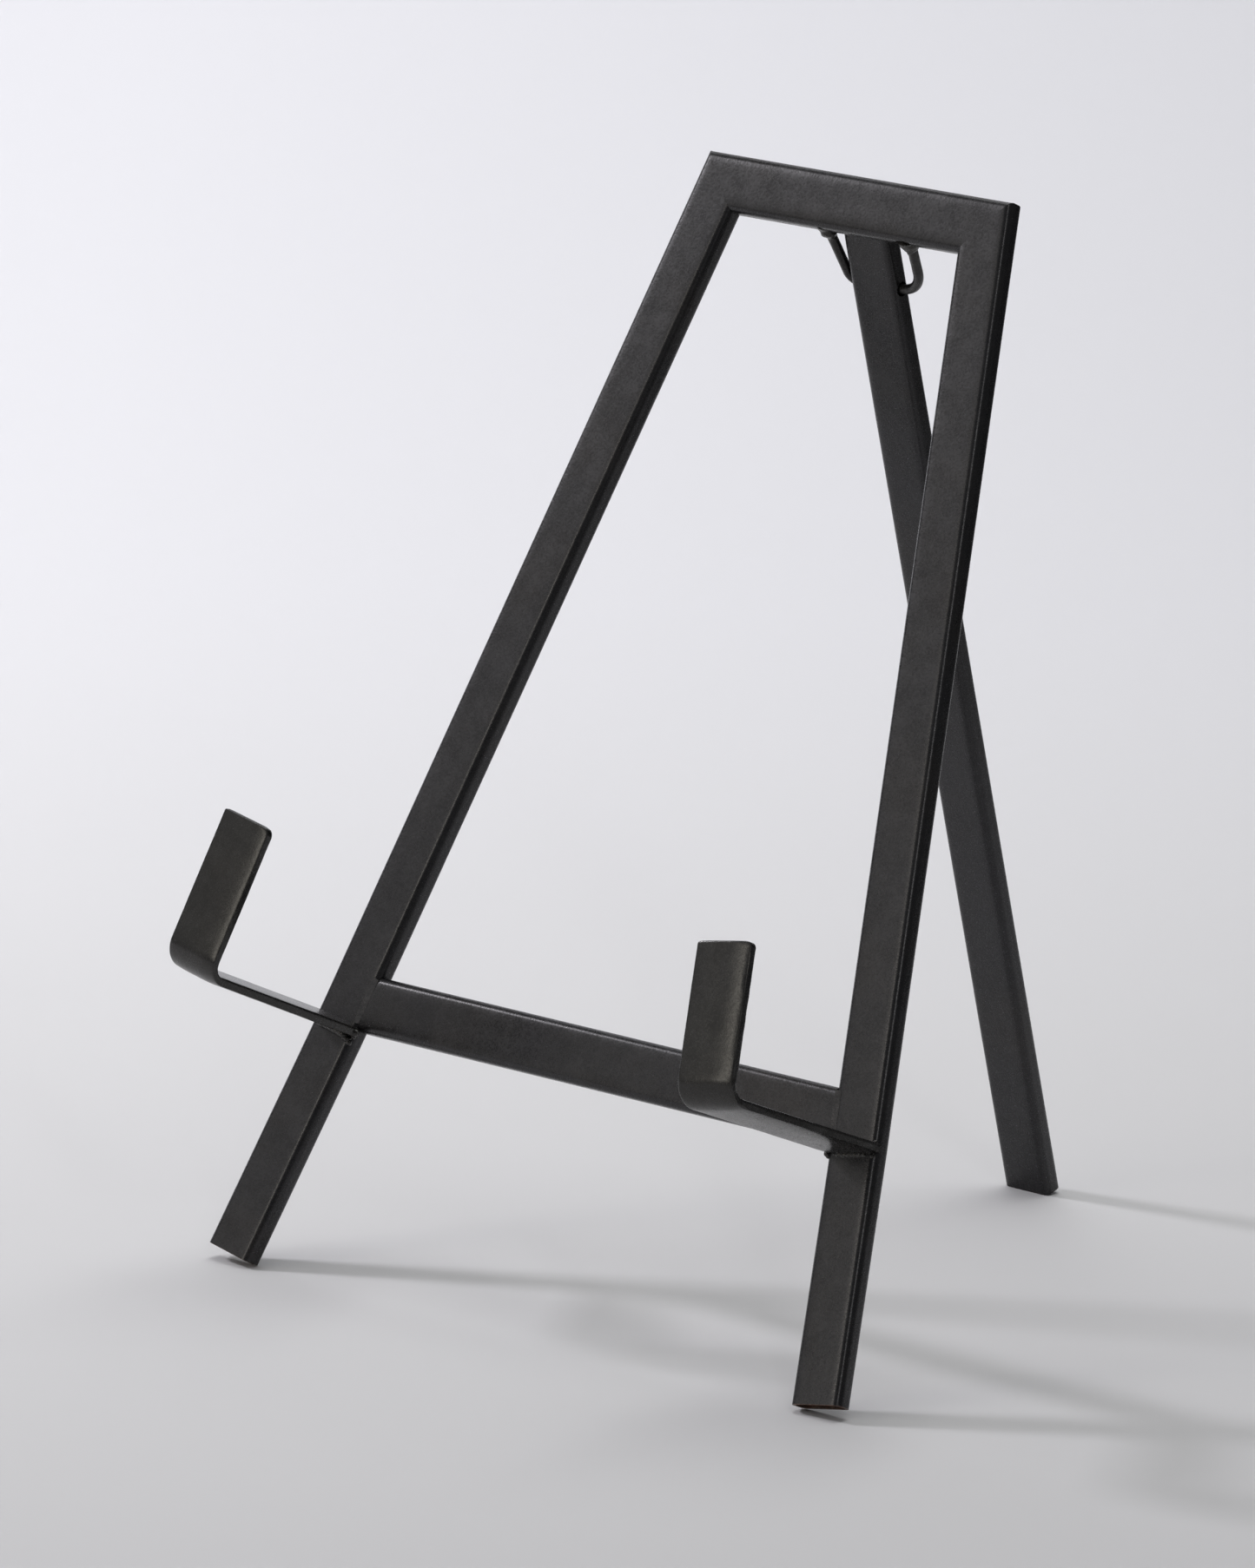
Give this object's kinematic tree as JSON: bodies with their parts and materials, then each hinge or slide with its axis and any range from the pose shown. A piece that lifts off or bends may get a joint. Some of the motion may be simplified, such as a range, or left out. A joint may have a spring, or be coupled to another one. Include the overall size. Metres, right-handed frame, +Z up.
{
  "type": "plate display stand",
  "caption": "Folding easel stand for showing a plate: a leaning trapezoid frame of flat tube, bent flat-bar shelf arms with turned-up lips, and a rear leg hung on a wire loop.",
  "frame": {"origin": "on the floor, below the centre of the stand's bounding box", "axes": "+Z up, +Y from the plate's side towards the rear leg, +X to the right seen from the front"},
  "size_m": [0.2794, 0.328, 0.3773],
  "materials": {
    "tube_paint": "satin black paint on steel tube",
    "arm_paint": "satin black paint on steel flat bar",
    "wire_paint": "satin black paint on steel wire",
    "weld_paint": "satin black paint over rough weld metal"
  },
  "bodies": {
    "frame": {"left_leg": "tube_paint", "right_leg": "tube_paint", "top_bar": "tube_paint", "bottom_bar": "tube_paint", "left_shelf_arm": "arm_paint", "right_shelf_arm": "arm_paint", "hinge_loop": "wire_paint", "shelf_welds": "weld_paint", "hinge_welds": "weld_paint", "frame_welds": "weld_paint"},
    "rear_leg": {"rear_leg": "tube_paint"}
  },
  "joints": [
    {"name": "rear_leg_hinge", "type": "hinge", "parent": "frame", "child": "rear_leg", "pos_m": [0.0021, 0.05308, 0.33898], "axis": [-1, 0, 0], "range_deg": [-1, 43.5]}
  ]
}
